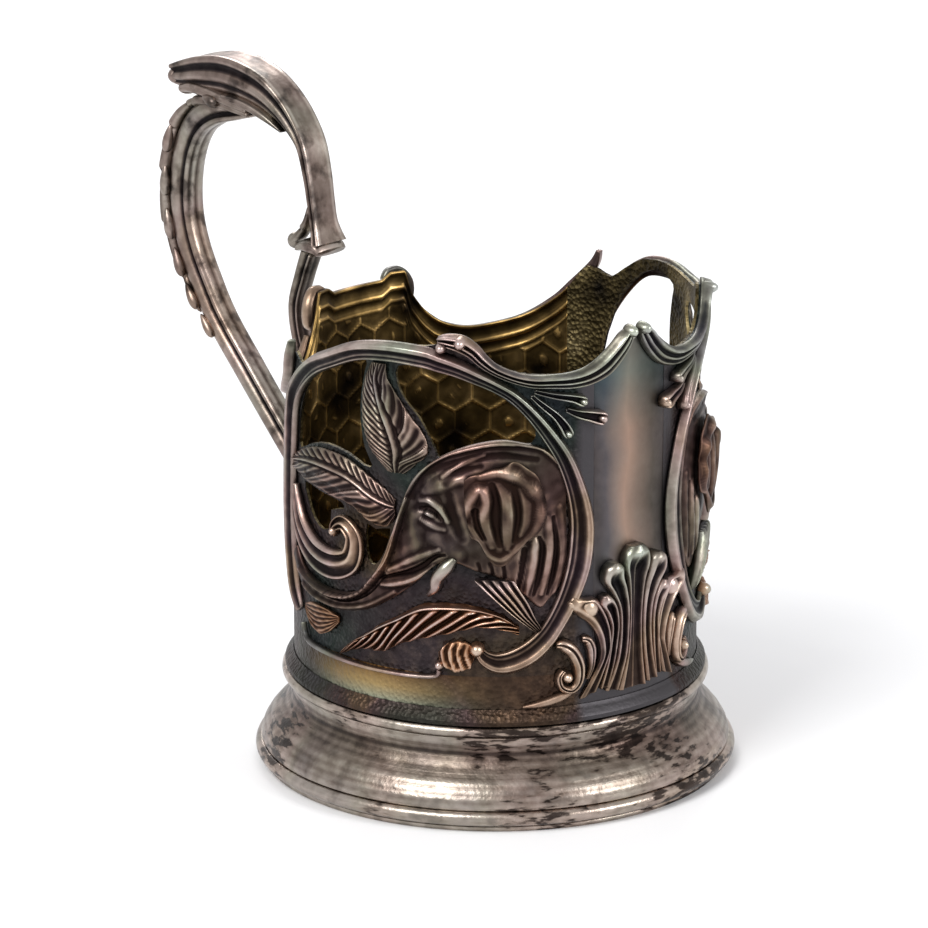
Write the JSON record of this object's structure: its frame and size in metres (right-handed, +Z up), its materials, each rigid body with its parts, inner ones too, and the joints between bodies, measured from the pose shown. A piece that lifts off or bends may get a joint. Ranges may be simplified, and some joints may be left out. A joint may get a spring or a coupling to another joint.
{
  "type": "tea glass holder",
  "caption": "Chased silver tea glass holder: pierced cylindrical sleeve with elephant head medallions on a flared foot, and a tall leafy loop handle.",
  "frame": {"origin": "the middle of the face that the glass rests on, on the sleeve's axis, 16.1 mm over the plane that the foot stands on", "axes": "+Z up along the sleeve's axis, -X towards the handle, +X towards the cartouche side; the cartouche's middle is 4 degrees towards -Y from +X"},
  "size_m": [0.1275, 0.0846, 0.1154],
  "materials": {
    "foot_silver": "worn silver, bright, circular brush marks with dark pits",
    "dark_silver": "oxidised silver with blue, green and copper tarnish",
    "satin_silver": "satin silver with a blue to copper tarnish",
    "relief_silver": "chased silver, bright on the ridges and black in the hollows",
    "handle_silver": "cast silver, polished by the hand on top, dark in the hollows",
    "gilt_silver": "worn gilding with dark patches"
  },
  "bodies": {
    "root": {"foot_skirt": "foot_silver", "foot_rim_wire": "foot_silver", "foot_rest_ring": "foot_silver", "collar_bead": "foot_silver", "step_ring": "dark_silver", "floor_plate": "gilt_silver", "sleeve_band": "dark_silver", "cartouche_panel": "satin_silver", "rear_panel": "gilt_silver", "seam_strip": "dark_silver", "left_medallion_plate": "dark_silver", "right_medallion_plate": "dark_silver", "left_frame": "relief_silver", "right_frame": "relief_silver", "left_frame_curl": "relief_silver", "right_frame_curl": "relief_silver", "left_elephant_head": "relief_silver", "right_elephant_head": "relief_silver", "left_ear": "relief_silver", "right_ear": "relief_silver", "left_tusk": "relief_silver", "right_tusk": "relief_silver", "left_wave_scroll": "relief_silver", "right_wave_scroll": "relief_silver", "left_upright_leaf": "relief_silver", "right_upright_leaf": "relief_silver", "left_side_leaf": "relief_silver", "right_side_leaf": "relief_silver", "left_acanthus": "relief_silver", "right_acanthus": "relief_silver", "left_quills": "relief_silver", "right_quills": "relief_silver", "left_shell_fan": "relief_silver", "right_shell_fan": "relief_silver", "left_band_edge": "relief_silver", "right_band_edge": "relief_silver", "left_front_swag": "relief_silver", "right_front_swag": "relief_silver", "left_rear_swag": "relief_silver", "right_rear_swag": "relief_silver", "left_rear_volute": "relief_silver", "right_rear_volute": "relief_silver", "rear_wall_rim": "gilt_silver", "left_drops": "relief_silver", "right_drops": "relief_silver", "palmette": "relief_silver", "left_palmette_scroll": "relief_silver", "right_palmette_scroll": "relief_silver", "left_palmette_volute": "relief_silver", "right_palmette_volute": "relief_silver", "handle_crest": "handle_silver", "handle_limb": "handle_silver", "handle_outer_leaves": "handle_silver", "handle_hook_leaf": "handle_silver", "handle_thumb_rest": "handle_silver", "handle_bracket": "handle_silver"}
  },
  "joints": []
}
